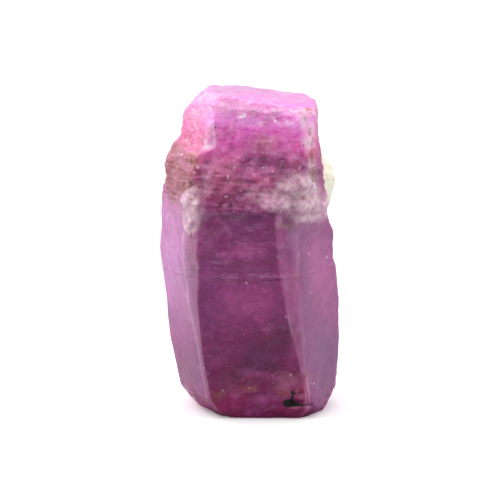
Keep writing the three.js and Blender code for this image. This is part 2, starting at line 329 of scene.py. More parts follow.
# the same from row to row, except at both ends
def evenRows(values):
    values[1:-1] = (values[:-2] + 2 * values[1:-1] + values[2:]) / 4


# rows climb from the foot's rim to the crown's, then rings shrink to the crown's middle
rowPlaces, rowReach = [], []
for n, level in enumerate(ruby["levels"]):
    last = n == len(ruby["levels"]) - 1
    for r in range(level[5]):
        rowPlaces.append(n + (0 if last else r / level[5]))
        rowReach.append(1 - r / level[5] if last else 1)
rowPlaces, rowReach = np.array(rowPlaces), np.array(rowReach)

plan = sectionRings(rowPlaces)
columnFace = np.repeat([face[0] for face in ruby["faces"]],
                       [face[2] * ruby["columnsPerStep"] for face in ruby["faces"]])
starts = np.flatnonzero(columnFace != np.roll(columnFace, 1))


# columns between each column and a starting one, the shorter way round
def columnsFrom(start):
    apart = np.abs(np.arange(len(columnFace)) - start)
    return np.minimum(apart, len(columnFace) - apart)


# the long edges are worn, most of all the outer ones of the bevels, where these faces start
worn = np.full(len(columnFace), ruby["wear"])
for name in ruby["wornStarts"]:
    away = columnsFrom(np.flatnonzero(columnFace == name)[0])
    worn = np.maximum(worn, np.exp(-(away / ruby["wornColumns"]) ** 2))
for _ in range(ruby["wearPasses"]):
    plan = plan + worn[None, :, None] * (evened(plan, 1) - plan)
plan = plan * rowReach[:, None, None]
places = np.repeat(rowPlaces[:, None], plan.shape[1], axis=1)
plain = np.dstack([plan, skinHeight(places, plan[..., 0], plan[..., 1])])
for _ in range(2):  # and soften the ledges
    evenRows(plain)

around = np.roll(plain, -1, axis=1) - np.roll(plain, 1, axis=1)
upward = np.gradient(plain, axis=0)
outward = unit(np.cross(around, upward))

calm = np.where(rowReach < 1, ruby["crownCalm"], 1)[:, None]
broken = atPlace(ruby["broken"], places)


# how much of one coating there is: the features that carry it, with a ragged edge
def coating(kind, low, high, ragged):
    most = sum(featureShare(name, plain) for name, f in ruby["features"].items() if f[5] == kind)
    unevenness = ragged * cloudNoise(plain, 0.9, seed=61) * smoothStep(0, 0.15, most)
    return smoothStep(low, high, most + unevenness)


crust, cream, ink = (coating(kind, *ruby["coats"][kind]) for kind in ("crust", "cream", "ink"))

# scraps of the same crust cling all round the band
level = plain[..., 2] / ruby["height"]
scraps = (cloudNoise(plain, (2.4, 2.4, 1.5), seed=107) * smoothStep(0.6, 0.65, level)
          * smoothStep(0.82, 0.74, level))
crust = np.maximum(crust, smoothStep(0.16, 0.4, scraps) * smoothStep(-1, 1.5, plain[..., 1]))

breaks = broken * blockBreaks(plain)
fine = fineRelief(plain, places, broken, np.maximum(crust, cream))
rise = calm * (placedRelief(plain) + breaks + fine)
skin = plain + outward * rise[..., None]
skin[0, :, 2] = 0
skin[..., 2] = np.maximum(skin[..., 2], 0)
middle = (skin.reshape(-1, 3).min(0) + skin.reshape(-1, 3).max(0)) / 2 * (1, 1, 0)
skin = skin - middle
print("skin:", skin.shape, "spans", np.round(np.ptp(skin.reshape(-1, 3), axis=0), 2), "mm")

# how far the broken skin stands out from its blurred self: ridges above 0, hollows below
sharp = fine + 0.5 * breaks
blurred = sharp.copy()
for _ in range(10):
    blurred = evened(blurred, 1)
    evenRows(blurred)
ridge = np.clip((sharp - blurred) / 0.05, -1, 1)  # full at 0.05 mm

picture = {
    "lens": 200,
    "sensor": 36,
    "frameWidth": 33.15,  # mm that the picture spans across at the crystal
    "elevation": 12.0,
    "aimHeight": 10.36,
}

# where each point shows in the picture, in mm: what is nearer by n looks larger by d / (d - n)
rear = picture["frameWidth"] * picture["lens"] / picture["sensor"]
lift = math.radians(picture["elevation"])
overAim = skin[..., 2] - picture["aimHeight"]
larger = rear / (rear - overAim * math.sin(lift) + skin[..., 1] * math.cos(lift))
across = skin[..., 0] * larger
up = picture["aimHeight"] + (overAim + math.tan(lift) * skin[..., 1]) * larger
frontHalf = (smoothStep(1.1, -0.5, skin[..., 1] + 1.6 * cloudNoise(skin, 1.8, seed=73))
             * smoothStep(0.97, 0.8, outward[..., 2]))
uneven = cloudNoise(skin, 0.7, seed=71)  # makes the marks' edges ragged


# an oval mark, 1 inside and 0 past its ragged edge
def mark(x, z, halfX, halfZ, ragged, turn, edge):
    c, s = math.cos(math.radians(turn)), math.sin(math.radians(turn))
    dx, dz = across - x, up - z
    e = np.hypot((c * dx + s * dz) / halfX, (c * dz - s * dx) / halfZ) + ragged * uneven
    return smoothStep(1 + edge / 2, 1 - edge / 2, e) * frontHalf


marks = {  # x, z, half width, half height, raggedness, turn, strength
    "crust": [  # thick pale patches
        (3.2, 13.7, 2.1, 1.1, 0.5, -8, 1), (3.4, 14.8, 1.1, 0.7, 0.5, 0, 1),
        (1.7, 13.9, 1.3, 0.6, 0.6, -12, 0.9), (4.3, 12.9, 0.8, 0.6, 0.4, 0, 1),
        (3.5, 12.6, 0.6, 0.4, 0.5, 0, 1), (-3.8, 13.2, 0.6, 1.25, 0.5, 4, 0.8),
        (-3.9, 12, 0.3, 0.5, 0.5, 0, 0.7), (-2.9, 15, 0.4, 1.2, 0.9, -14, 0.35),
        (2.6, 1.5, 0.9, 0.4, 0.9, 0, 0.1), (3.62, 19.2, 0.24, 0.5, 0.6, 0, 0.8),
        (3.8, 17.6, 0.18, 0.5, 0.8, 0, 0.6), (4.1, 16.1, 0.22, 0.45, 0.7, 0, 0.7)],
    "smokeAndShadow": [  # dark clouds in the stone, and painted shadow in the recess under the block and below the crust's lip
        (1.3, 3.4, 1.9, 1, 0.7, 28, 1), (2.1, 4.7, 0.9, 1, 0.6, 0, 1),
        (-0.2, 2.4, 1, 0.4, 0.7, 20, 1), (0.4, 16.5, 1, 0.14, 1, 6, 0.5),
        (0.2, 16, 1.1, 0.14, 1.2, -3, 0.4), (1.1, 15.5, 0.9, 0.2, 1.2, -8, 0.4),
        (5.2, 2.4, 0.9, 2.2, 0.7, -4, 0.6), (-4.2, 2.6, 0.9, 1.6, 0.7, 10, 0.5),
        (2.7, 12, 0.45, 0.6, 0.4, 0, 1), (-0.9, 12.6, 2.2, 0.3, 0.8, 0, 0.8),
        (-1.4, 14, 1.1, 0.35, 0.8, 3, 0.6)],
    "violet": [  # where the stone is deepest: down the right-hand bevel, and in the front's left
        (3.65, 5.8, 0.4, 4.6, 0.5, 0, 0.6), (2.75, 10.8, 0.5, 1.3, 0.6, 0, 0.8),
        (5, 3.2, 0.9, 2, 0.7, 0, 0.9), (-2.6, 7.6, 0.7, 2.6, 0.9, 0, 0.5),
        (-3.3, 2.4, 0.5, 1.8, 0.9, 8, 0.4), (0.3, 12.2, 1.6, 0.8, 0.9, 0, 0.4)],
    "soil": [  # brown earth on the left shoulder and its ledge, and a little elsewhere
        (-5.2, 16.4, 0.7, 1.2, 0.7, 0, 0.9), (-4.4, 16.8, 0.9, 0.3, 0.8, -35, 0.9),
        (-4.6, 15, 1, 0.6, 0.9, 0, 0.9), (4.2, 15.4, 0.3, 0.9, 0.9, 0, 0.55),
        (2.7, 1.5, 1, 0.45, 0.9, 0, 0.2), (-4.8, 15.6, 1.2, 1.9, 0.8, 0, 0.8),
        (2.2, 12, 0.7, 0.25, 0.9, 0, 0.5), (-5, 14.4, 0.7, 0.7, 0.9, 0, 0.5),
        (-2, 0.45, 0.4, 0.3, 0.9, 0, 0.5)],
    "salmon": [  # warm pink on the block's two flanks and by the cavity
        (-3.9, 18.3, 1, 1.6, 0.6, 0, 0.75), (3.75, 20, 0.6, 0.4, 0.7, 0, 1),
        (4.2, 17.6, 0.35, 1.3, 0.9, 0, 0.6), (-1.8, 15, 0.9, 0.8, 0.9, 0, 0.35),
        (1, 17.5, 0.9, 0.5, 0.9, 0, 0.35), (2.7, 1.3, 1.1, 0.5, 0.8, 0, 0.2),
        (0, 0.9, 0.6, 0.2, 0.9, 0, 0.2), (2.3, 0.65, 0.35, 0.28, 0.9, 0, 0.4),
        (3.3, 0.8, 0.6, 0.5, 0.9, 0, 0.35)],
    "ink": [  # the black cavity with its tail and spike
        (2.63, -0.04, 0.44, 0.3, 0.2, -10, 1), (2.95, -0.12, 0.38, 0.16, 0.15, -6, 1),
        (3.3, -0.16, 0.46, 0.075, 0.1, 3, 1), (2.8, 0.3, 0.08, 0.24, 0.2, 0, 1),
        (2.84, 0.68, 0.13, 0.19, 0.3, 15, 1), (2.98, 0.66, 0.13, 0.07, 0.2, 0, 1)],
    "paintedGlow": [  # painted glow where light comes through: by the cavity, in the block and at the waist
        (2.9, 1.35, 0.9, 0.4, 0.7, 0, 1), (1.7, 1.6, 0.6, 0.2, 0.8, 0, 1),
        (0.2, 2, 1.2, 0.25, 0.9, -12, 1), (1.9, 18.4, 1.2, 0.9, 0.8, -10, 1),
        (-1.6, 18.7, 1, 0.5, 0.8, 0, 1), (1.8, 16.9, 0.9, 0.5, 0.8, 0, 1),
        (-2.6, 15.9, 0.6, 1, 0.8, 0, 0.8), (0, 7.1, 1.9, 1.2, 0.9, 0, 0.9),
        (-0.3, 10.3, 1.2, 0.5, 0.9, 0, 1), (-2.7, 18, 0.3, 1.1, 0.6, 0, 1),
        (4.7, 9, 0.8, 2, 0.8, 0, 1), (3, 5, 0.3, 3, 0.5, -8, 0.8)],
    "rust": [  # orange-brown stains and the cracks of the left shoulder
        (-3.91, 13.78, 0.13, 0.11, 0.4, 0, 1), (-4.71, 14.41, 0.14, 0.1, 0.5, 0, 1),
        (-5.45, 14.56, 0.1, 0.12, 0.4, 0, 1), (1.15, 4.4, 0.17, 0.14, 0.6, 0, 0.9),
        (-4.3, 14.5, 0.09, 0.07, 0.4, 0, 0.8), (3.55, 13.9, 0.22, 0.2, 0.7, 0, 0.9),
        (3.95, 18.35, 0.09, 0.2, 1.2, 0, 0.7), (4.1, 16.6, 0.1, 0.4, 0.9, 0, 0.8),
        (2.2, 1.9, 0.1, 0.08, 0.5, 0, 0.8), (3, 2, 0.12, 0.08, 0.5, 0, 0.8),
        (2.5, 1.5, 0.08, 0.06, 0.4, 0, 0.7), (0.1, 1, 0.36, 0.14, 1.1, 0, 0.9),
        (-0.5, 1.15, 0.14, 0.1, 0.8, 0, 0.8), (2.25, 0.65, 0.2, 0.16, 1.3, 0, 0.8),
        (2.75, 0.5, 0.2, 0.1, 1.3, 0, 0.6), (3.8, 2.1, 0.1, 0.2, 1.2, 0, 0.8),
        (-2, 0.45, 0.3, 0.22, 1.2, 0, 0.3), (3.7, 1.8, 0.22, 0.25, 0.8, 0, 0.7),
        (-4.3, 17, 0.8, 0.06, 0.5, -38, 1), (-4, 16.8, 0.6, 0.05, 0.5, -30, 1),
        (-3.7, 16.4, 0.08, 0.4, 0.6, -20, 0.8), (-3.4, 17.2, 0.07, 0.3, 0.5, 10, 0.8),
        (4.25, 15.2, 0.14, 0.4, 0.9, 0, 0.8), (-4.1, 14.6, 0.5, 0.05, 0.6, 30, 0.8)],
    "pit": [  # small dark holes
        (-3.74, 18.3, 0.08, 0.07, 0.3, 0, 1), (-2.3, 18.68, 0.06, 0.07, 0.3, 0, 1),
        (0.21, 19.77, 0.05, 0.05, 0, 0, 1), (2.77, 15.75, 0.07, 0.12, 0.3, 0, 0.8),
        (2.43, 15.27, 0.12, 0.06, 0.3, 20, 1), (3.07, 20.35, 0.11, 0.04, 0.3, 15, 0.8),
        (-2.43, 15.3, 0.07, 0.06, 0.3, 0, 0.8), (4, 18.6, 0.06, 0.06, 0.6, 0, 0.7),
        (3.53, 17.45, 0.08, 0.08, 0.3, 0, 0.7), (-1.33, 17.6, 0.05, 0.05, 0, 0, 0.7),
        (4.1, 17.5, 0.07, 0.14, 0.5, 0, 0.7), (1.9, 12.9, 0.1, 0.05, 0.4, 0, 0.7)],
    "gritGlints": [  # crumbly spots round the cavity and along the foot, where painted glints thicken
        (2.8, 1.5, 1.3, 0.7, 0.8, 0, 0.6), (-0.2, 1.2, 1.2, 0.3, 0.9, 0, 0.4),
        (-3, 0.5, 1, 0.4, 0.9, -20, 0.4), (3.9, 1.2, 0.9, 0.8, 0.8, 0, 0.4),
        (-3.4, 10.8, 0.5, 0.9, 0.9, 0, 0.3)],
    "scribble": [  # fine light lines along the growth steps
        (-1.7, 8.5, 1.1, 0.12, 0.3, 0, 1), (0.7, 8.6, 1, 0.1, 0.5, 0, 0.7),
        (0.3, 9.15, 0.8, 0.1, 0.6, 3, 0.6), (0.3, 10.2, 0.8, 0.12, 0.6, 6, 0.6),
        (-0.1, 10.85, 0.6, 0.1, 0.5, 0, 0.7), (1.4, 9.9, 0.9, 0.12, 0.6, -4, 0.5),
        (-1.8, 9.5, 0.8, 0.1, 0.6, 2, 0.5)],
    "glintFleck": [  # painted glints: bright flecks where the stone sparkles
        (-0.6, 19.37, 0.32, 0.13, 1, 10, 1), (-0.38, 19.5, 0.1, 0.16, 0.8, 0, 1),
        (2.92, 20.22, 0.13, 0.07, 0.6, 0, 1), (2.69, 19.83, 0.07, 0.06, 0.3, 0, 0.9),
        (1.5, 19.95, 0.2, 0.05, 0.8, 0, 0.8), (1.67, 19.1, 0.06, 0.11, 0.5, 0, 1),
        (-2.43, 20.25, 0.12, 0.05, 0.6, 0, 0.9), (-1.92, 19.5, 0.09, 0.05, 0.5, 0, 0.8),
        (-1.55, 19.5, 0.06, 0.05, 0.3, 0, 0.7), (-1.24, 18.95, 0.12, 0.04, 0.6, 20, 0.7),
        (-0.82, 16.6, 0.05, 0.09, 0.4, 0, 0.8), (-1.03, 15.95, 0.07, 0.04, 0.4, 0, 0.8),
        (-1.46, 15.3, 0.06, 0.13, 0.6, -20, 0.9), (0.87, 15.95, 0.09, 0.05, 0.5, 0, 1),
        (1.5, 15.66, 0.1, 0.04, 0.5, -35, 0.9), (1.76, 15.6, 0.05, 0.05, 0.3, 0, 0.8),
        (2.18, 16.4, 0.09, 0.06, 0.6, -40, 0.8), (3.3, 15.95, 0.06, 0.16, 0.6, 0, 0.7),
        (3.07, 16.6, 0.05, 0.12, 0.6, 20, 0.7), (4.2, 16.1, 0.1, 0.07, 0.6, 0, 0.8),
        (4.3, 14.7, 0.08, 0.26, 0.4, 16, 1), (-1.62, 13.98, 0.1, 0.04, 0.5, 0, 1),
        (-1.08, 13, 0.06, 0.05, 0.3, 0, 0.6), (-2.94, 17.3, 0.04, 0.16, 0.4, 0, 0.9),
        (-4.2, 17.8, 0.08, 0.08, 0.4, 0, 0.8), (-4.5, 16.85, 0.06, 0.05, 0.3, 0, 0.7),
        (-3.49, 15.95, 0.06, 0.08, 0.4, 0, 0.8), (-3.7, 15.6, 0.07, 0.1, 0.6, 0, 0.8),
        (-3.74, 11.3, 0.06, 0.1, 0.4, 30, 1), (-0.27, 8.1, 0.12, 0.04, 0.7, 0, 0.9),
        (2.69, 7.58, 0.05, 0.05, 0.3, 0, 0.9), (5.1, 9.9, 0.05, 0.08, 0.5, 0, 0.9),
        (2.35, 5.87, 0.05, 0.08, 0.5, 0, 0.8), (4.25, 1.3, 0.12, 0.03, 0.5, 0, 0.8),
        (3.91, 10.1, 0.04, 0.06, 0.3, 0, 0.8), (3.49, 7.45, 0.035, 0.04, 0.3, 0, 0.7),
        (4.02, 7.45, 0.035, 0.045, 0.3, 0, 0.7), (3.07, 8, 0.035, 0.05, 0.3, 0, 0.7),
        (-3.44, 9.1, 0.04, 0.07, 0.4, 0, 0.8), (-2.81, 1.96, 0.04, 0.05, 0.3, 0, 0.7),
        (-3.06, 2.35, 0.04, 0.05, 0.3, 0, 0.7), (-1.8, 0.84, 0.06, 0.04, 0.4, -30, 0.8),
        (0.53, 2.05, 0.04, 0.04, 0.3, 0, 0.5), (2.6, 0.4, 0.05, 0.05, 0.2, 0, 0.8)],
}


# all the marks of one kind together: 1 - product of (1 - strength * mark)
def allMarks(kind, edge):
    return 1 - np.prod([1 - m[6] * mark(*m[:6], edge) for m in marks[kind]], axis=0)


# the crust is thinner on its tongue across the front
crust = np.maximum(crust, allMarks("crust", 1.2))
crust = crust * (1 - 0.35 * smoothStep(2.8, 1.4, across) * smoothStep(-1.5, -0.5, across) * frontHalf)
soft = {kind: allMarks(kind, 1.2) for kind in ("smokeAndShadow", "soil", "salmon", "paintedGlow", "violet")}
crisp = {kind: allMarks(kind, 0.7) for kind in ("rust", "glintFleck", "pit", "scribble")}
gritGlints = allMarks("gritGlints", 0.7)
ink = np.maximum(ink * (1 - frontHalf), allMarks("ink", 0.35))
print("marks placed")

# frost whitens the worn edges, the narrow faces of the block and the crown's rim; on the upward-facing rim
# it is partly painted light
narrow = sum(amount * (columnFace == name) for name, amount in ruby["frosted"].items())
for _ in range(8):
    narrow = evened(narrow, 0)
onBlock = inZone("block", places + 0.9 * cloudNoise(plain, 1.3, seed=99))
rimZone = inZone("rim", places + 0.5 * cloudNoise(plain, 1.2, seed=101)) * inZone("underCrown", places)
lowBlock = np.where(across[0] < 0, inZone("lowLeft", places), inZone("lowRight", places))
frost = onBlock * lowBlock * narrow[None, :] * (0.6 + 0.7 * cloudNoise(plain, 0.9, seed=83))
frost = np.maximum(frost, rimZone * (0.3 + 0.5 * cloudNoise(plain, (0.6, 0.6, 0.4), seed=84)))
below = inZone("prism", places)
edges = sum(amount * (columnFace == name) for name, amount in ruby["frostedEdges"].items())
frost = np.maximum(frost, below * edges)

# a thin light line runs down each worn edge
nearest = np.min([columnsFrom(start) for start in starts], axis=0)
patchy = smoothStep(-0.1, 0.6, cloudNoise(plain, (0.8, 0.8, 1.3), seed=113))
edgeLine = np.exp(-(nearest / 1.1) ** 2) * patchy
frost = np.clip(frost + ruby["edgeLight"] * below * edgeLine, 0, 1)

# painted shade deepens the band and the block towards the back, and the right-hand bevel gets a painted
# glow
behind = smoothStep(-2.8, 2.2, skin[..., 1]) * inZone("deepFoot", places) * inZone("deepTop", places)
soft["paintedGlow"] = np.maximum(soft["paintedGlow"], 0.9 * below * (columnFace == "frontRightEdge"))

# colours run level in the picture, so behind they stand higher
slanted = skin[..., 2] + math.tan(lift) * skin[..., 1]
heightShare = np.clip((slanted + 0.55 * cloudNoise(plain, 1.4, seed=89)) / ruby["height"], 0, 1)

# growth lines show round the waist and all through the band, in patches
lined = (0.12 + 0.6 * np.exp(-((slanted - 9.6) / 1.3) ** 2)
         + 0.8 * smoothStep(11, 12.5, slanted) * smoothStep(16.5, 15, slanted))
lined = np.clip(lined * (0.75 + 0.7 * cloudNoise(plain, 1.8, seed=103)), 0, 1)

attributes = {
    "heightShare": heightShare, "side": outward[..., 0], "lined": lined, "ridge": ridge,
    "broken": np.broadcast_to(broken, places.shape), "onBlock": np.broadcast_to(onBlock, places.shape),
    "behind": behind, "glinting": np.maximum(rimZone, gritGlints), "frost": frost,
    "crust": crust, "cream": cream, "ink": ink, **soft, **crisp,
}


# the grid as quads, and a fan at each end
def skinMesh(name):
    rows, columns = skin.shape[:2]
    index = np.arange(rows * columns).reshape(rows, columns)
    right = np.roll(index, -1, axis=1)
    quads = np.stack([index[:-1], right[:-1], right[1:], index[1:]], axis=-1).reshape(-1, 4)
    foot, top = rows * columns, rows * columns + 1
    footFan = np.stack([np.full(columns, foot), right[0], index[0]], axis=-1)
    topFan = np.stack([np.full(columns, top), index[-1], right[-1]], axis=-1)
    ends = [[0, 0, 0], skin[-1].mean(axis=0)]
    points = np.concatenate([skin.reshape(-1, 3), ends]) * mm
    mesh = bpy.data.meshes.new(name)
    mesh.from_pydata(points.tolist(), [], quads.tolist() + footFan.tolist() + topFan.tolist())
    for key, values in attributes.items():
        ends = [values[0].mean(), values[-1].mean()]
        layer = mesh.attributes.new(key, "FLOAT", "POINT")
        layer.data.foreach_set("value", np.concatenate([values.ravel(), ends]).astype(np.float32))
    smooth = np.ones(len(mesh.polygons), bool)
    smooth[len(quads):len(quads) + columns] = False
    mesh.polygons.foreach_set("use_smooth", smooth)
    mesh.update()
    return mesh


def addObject(name, data):
    thing = bpy.data.objects.new(name, data)
    bpy.context.collection.objects.link(thing)
    return thing


stone = addObject("rubyStone", skinMesh("rubyStone"))
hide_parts("ruby_crystal")
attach(stone, "root")
print("stone made:", len(stone.data.polygons), "faces")


# sRGB to linear: ((c + 0.055) / 1.055)^2.4, and c / 12.92 near black
def linear(r, g, b):
    shares = (c / 255 for c in (r, g, b))
    return tuple(((c + 0.055) / 1.055) ** 2.4 if c > 0.04 else c / 12.92 for c in shares) + (1,)


finish = {
    # the bright pinks of the block, from 0.86 up, are partly painted light for its dimly lit front
    "zones": [  # share of the height, colour
        (0.00, (184, 46, 126)), (0.07, (150, 34, 106)), (0.30, (160, 46, 128)), (0.60, (164, 48, 130)),
        (0.66, (206, 76, 145)), (0.78, (226, 104, 172)), (0.86, (255, 100, 214)), (0.885, (255, 139, 236)),
        (0.94, (252, 124, 222)), (1.00, (222, 150, 210))],
    "tones": {
        "veil": (140, 44, 128), "glow": (228, 110, 190), "deep": (186, 66, 132), "shade": (130, 70, 120),
        "bloom": (252, 190, 250), "dusk": (150, 22, 130), "violet": (118, 44, 134),
        "salmon": (244, 128, 150), "smokeAndShadow": (84, 34, 72), "soil": (150, 104, 96), "rust": (156, 62, 40),
        "pit": (70, 24, 40), "frost": (250, 216, 236), "crust": (246, 212, 224),
        "crustShade": (206, 160, 184), "cream": (255, 255, 230), "creamShade": (230, 218, 178),
        "ink": (14, 8, 6), "glintFleck": (255, 231, 253)},
    # how much of a tone goes on where its mask is full; a pair is for where a second mask is empty and full
    "amounts": {
        "behind": 0.45, "veil": (0.25, 0.55), "glow": 0.4, "mottle": (0.07, 0.32), "milk": 0.16,
        "level": 0.7, "bright": 0.5, "brightOnBlock": 0.8, "hairs": 0.2, "steep": 0.3, "slanting": 0.06,
        "leftFrostAndSheen": 0.42, "dusk": (0.54, 0.81), "leftDusk": 0.3, "leftFlankGlow": 0.3,
        "paintedGlow": 0.3, "violet": 0.4, "salmon": 0.6, "smokeAndShadow": 0.42, "soil": 0.6, "frost": 1,
        "salmonCracks": 0.7, "rustyCracks": 0.72, "whiteCracks": 0.3, "ridges": (0.2, 0.45),
        "hollows": (0.7, 0.3), "crust": 0.85, "rust": 0.6, "pit": 0.75, "speckleGlints": 0.5, "glints": 1.5,
        "scatter": 0.55, "scribble": 0.42, "fleckEdge": 0.9},
    # where a mask starts to count and where it is full
    "ranges": {
        "underBlock": (0.86, 0.76), "nearFoot": (0.35, 0.05), "overFoot": (0.08, 0.5),
        "underBand": (0.75, 0.62), "leftSide": (-0.5, -0.85), "rightSide": (0.5, 0.8),
        "ridges": (0.1, 1.2), "hollows": (-0.1, -1.2), "glintFleck": (0.62, 0.95), "ink": (0.25, 0.6)},
    # noise: size in mm, detail, roughness, where it starts and where it is full
    "clouds": {
        "veil": (2.6, 4, 0.55, 0.42, 0.72), "glow": (1.3, 4, 0.55, 0.5, 0.75),
        "mottle": (0.5, 5, 0.65, 0.35, 0.7), "milk": (0.25, 4, 0.7, 0.55, 0.8),
        "crackled": (0.9, 3, 0.55, 0.36, 0.52), "patches": (0.9, 3, 0.55, 0.42, 0.6),
        "crust": (0.4, 4, 0.65, 0.4, 0.65), "cream": (0.4, 4, 0.65, 0.45, 0.75)},
    # stripes: the way across them, line and length in mm, detail, where they start and are full
    "streaks": {
        "level": ((0, 0, 1), 0.14, 1.6, 3, 0.5, 0.72), "bright": ((0.06, 0, 1), 0.09, 0.8, 3, 0.58, 0.8),
        "hairs": ((0.5, 0, -0.85), 0.06, 1.7, 1, 0.66, 0.78),
        "steep": ((0.399, -0.75, 0.527), 0.13, 2.2, 3, 0.5, 0.66),
        "slanting": ((0.35, 0.54, -0.76), 0.16, 2.0, 3, 0.5, 0.7),
        "scribble": ((0.03, 0, 1), 0.05, 0.5, 3, 0.5, 0.66)},
    "cracks": {"rusty": (0.8, 0.19), "white": (1.5, 0.12)},  # cell in mm, width in cells
    # dots: cell in mm, radius in cells, share of the cells without one
    "dots": {"pits": (0.7, 0.13, 0.86), "speckleGlints": (0.5, 0.13, 0.92), "flakes": (0.28, 0.22, 0.8),
             "glints": (0.4, 0.3, 0.62), "sugar": (0.17, 0.3, 0.75)},
    "fleckEdgeSize": 0.14,  # mm
    "roughness": 0.36,
    "coatRoughness": 0.2,  # more where a coat is
    "inkRoughness": 2.5,  # the black cavity, in coats
    "unevenness": 0.16,  # of the roughness, over patches of this size in mm
    "unevenSize": 0.5,
    "flakeSize": 0.24,  # mm
    "flakeTilt": (0.06, 0.46),  # whole stone, broken stone
    "grainSize": 0.22,  # of the bumps, in mm
    "levelBump": 0.4,
    "steepBump": 0.5,
    "bumpDepth": 0.05,  # mm
    "bumpStrength": 0.7,
    "refraction": 1.77,  # corundum
    "scatterWeight": 0.7,
    "scatterReach": (1.0, 0.35, 0.75),  # red, green and blue, in scatter depths
    "scatterDepth": 1.0,  # mm
}


# a node of one kind; an input is linked if it is a socket and set if it is a value
def addNode(tree, kind, inputs=None, **settings):
    node = tree.nodes.new(kind)
    for key, value in settings.items():
        setattr(node, key, value)
    for key, value in (inputs or {}).items():
        socket = node.inputs[key]
        if isinstance(value, bpy.types.NodeSocket):
            tree.links.new(value, socket)
        else:
            socket.default_value = value
    return node


def newMaterial(name):
    material = bpy.data.materials.new(name)
    material.use_nodes = True
    material.node_tree.nodes.clear()
    return material, material.node_tree


def attributeOf(tree, name):
    return addNode(tree, "ShaderNodeAttribute", attribute_name=name).outputs["Fac"]


def mixColour(tree, factor, first, second, how="MIX"):
    return addNode(tree, "ShaderNodeMix", {0: factor, 6: first, 7: second}, data_type="RGBA",
                   blend_type=how).outputs[2]


def mathNode(tree, how, first, second=0.0, third=0.0, clamp=False):
    return addNode(tree, "ShaderNodeMath", {0: first, 1: second, 2: third}, operation=how,
                   use_clamp=clamp).outputs[0]


def vectorNode(tree, how, first, second=(0, 0, 0), scale=None):
    inputs = {0: first, 1: second} if scale is None else {0: first, "Scale": scale}
    node = addNode(tree, "ShaderNodeVectorMath", inputs, operation=how)
    return node.outputs["Value" if how == "DOT_PRODUCT" else "Vector"]


def noiseOf(tree, place, sizeMm, detail=3.0, rough=0.55):
    return addNode(tree, "ShaderNodeTexNoise", {"Vector": place, "Scale": 1 / (sizeMm * mm),
                                                "Detail": detail, "Roughness": rough}).outputs["Fac"]


# 0 at the first value and 1 at the second, which may be the lower one
def spread(tree, value, start, full):
    return addNode(tree, "ShaderNodeMapRange", {"Value": value, "From Min": start, "From Max": full},
                   interpolation_type="SMOOTHSTEP").outputs["Result"]


# stretches the coordinates so that a noise runs in fine lines square to the direction
def stripes(tree, place, direction, lineMm, longMm, detail):
    direction = Vector(direction).normalized()
    along = vectorNode(tree, "DOT_PRODUCT", place, direction)
    step = vectorNode(tree, "SCALE", direction,
                      scale=mathNode(tree, "MULTIPLY", along, longMm / lineMm - 1))
    return noiseOf(tree, vectorNode(tree, "ADD", place, step), longMm, detail)


# dots at the middles of random cells: those with a cell value over the limit
def dots(tree, place, cellMm, radius, limit):
    cells = addNode(tree, "ShaderNodeTexVoronoi", {"Vector": place, "Scale": 1 / (cellMm * mm)})
    core = 0.4  # of the radius
    near = spread(tree, cells.outputs["Distance"], radius, radius * core)
    value = addNode(tree, "ShaderNodeSeparateColor", {"Color": cells.outputs["Color"]}).outputs[0]
    return mathNode(tree, "MULTIPLY", near, mathNode(tree, "GREATER_THAN", value, limit))


# thin lines where the cells of broken stone meet, bent by noise: 1 on the line
def cracks(tree, place, cellMm, width):
    bendMm, flatness, core = 0.5, (1, 1, 2.4), 0.3  # core: share of the width
    bend = addNode(tree, "ShaderNodeTexNoise", {"Vector": place, "Scale": 1 / (bendMm * mm)})
    bend = vectorNode(tree, "SUBTRACT", bend.outputs["Color"], (0.5, 0.5, 0.5))
    bent = vectorNode(tree, "ADD", place, vectorNode(tree, "SCALE", bend, scale=bendMm * mm))
    flat = vectorNode(tree, "MULTIPLY", bent, flatness)
    cells = addNode(tree, "ShaderNodeTexVoronoi", {"Vector": flat, "Scale": 1 / (cellMm * mm)},
                    feature="DISTANCE_TO_EDGE")
    return spread(tree, cells.outputs["Distance"], width, core * width)


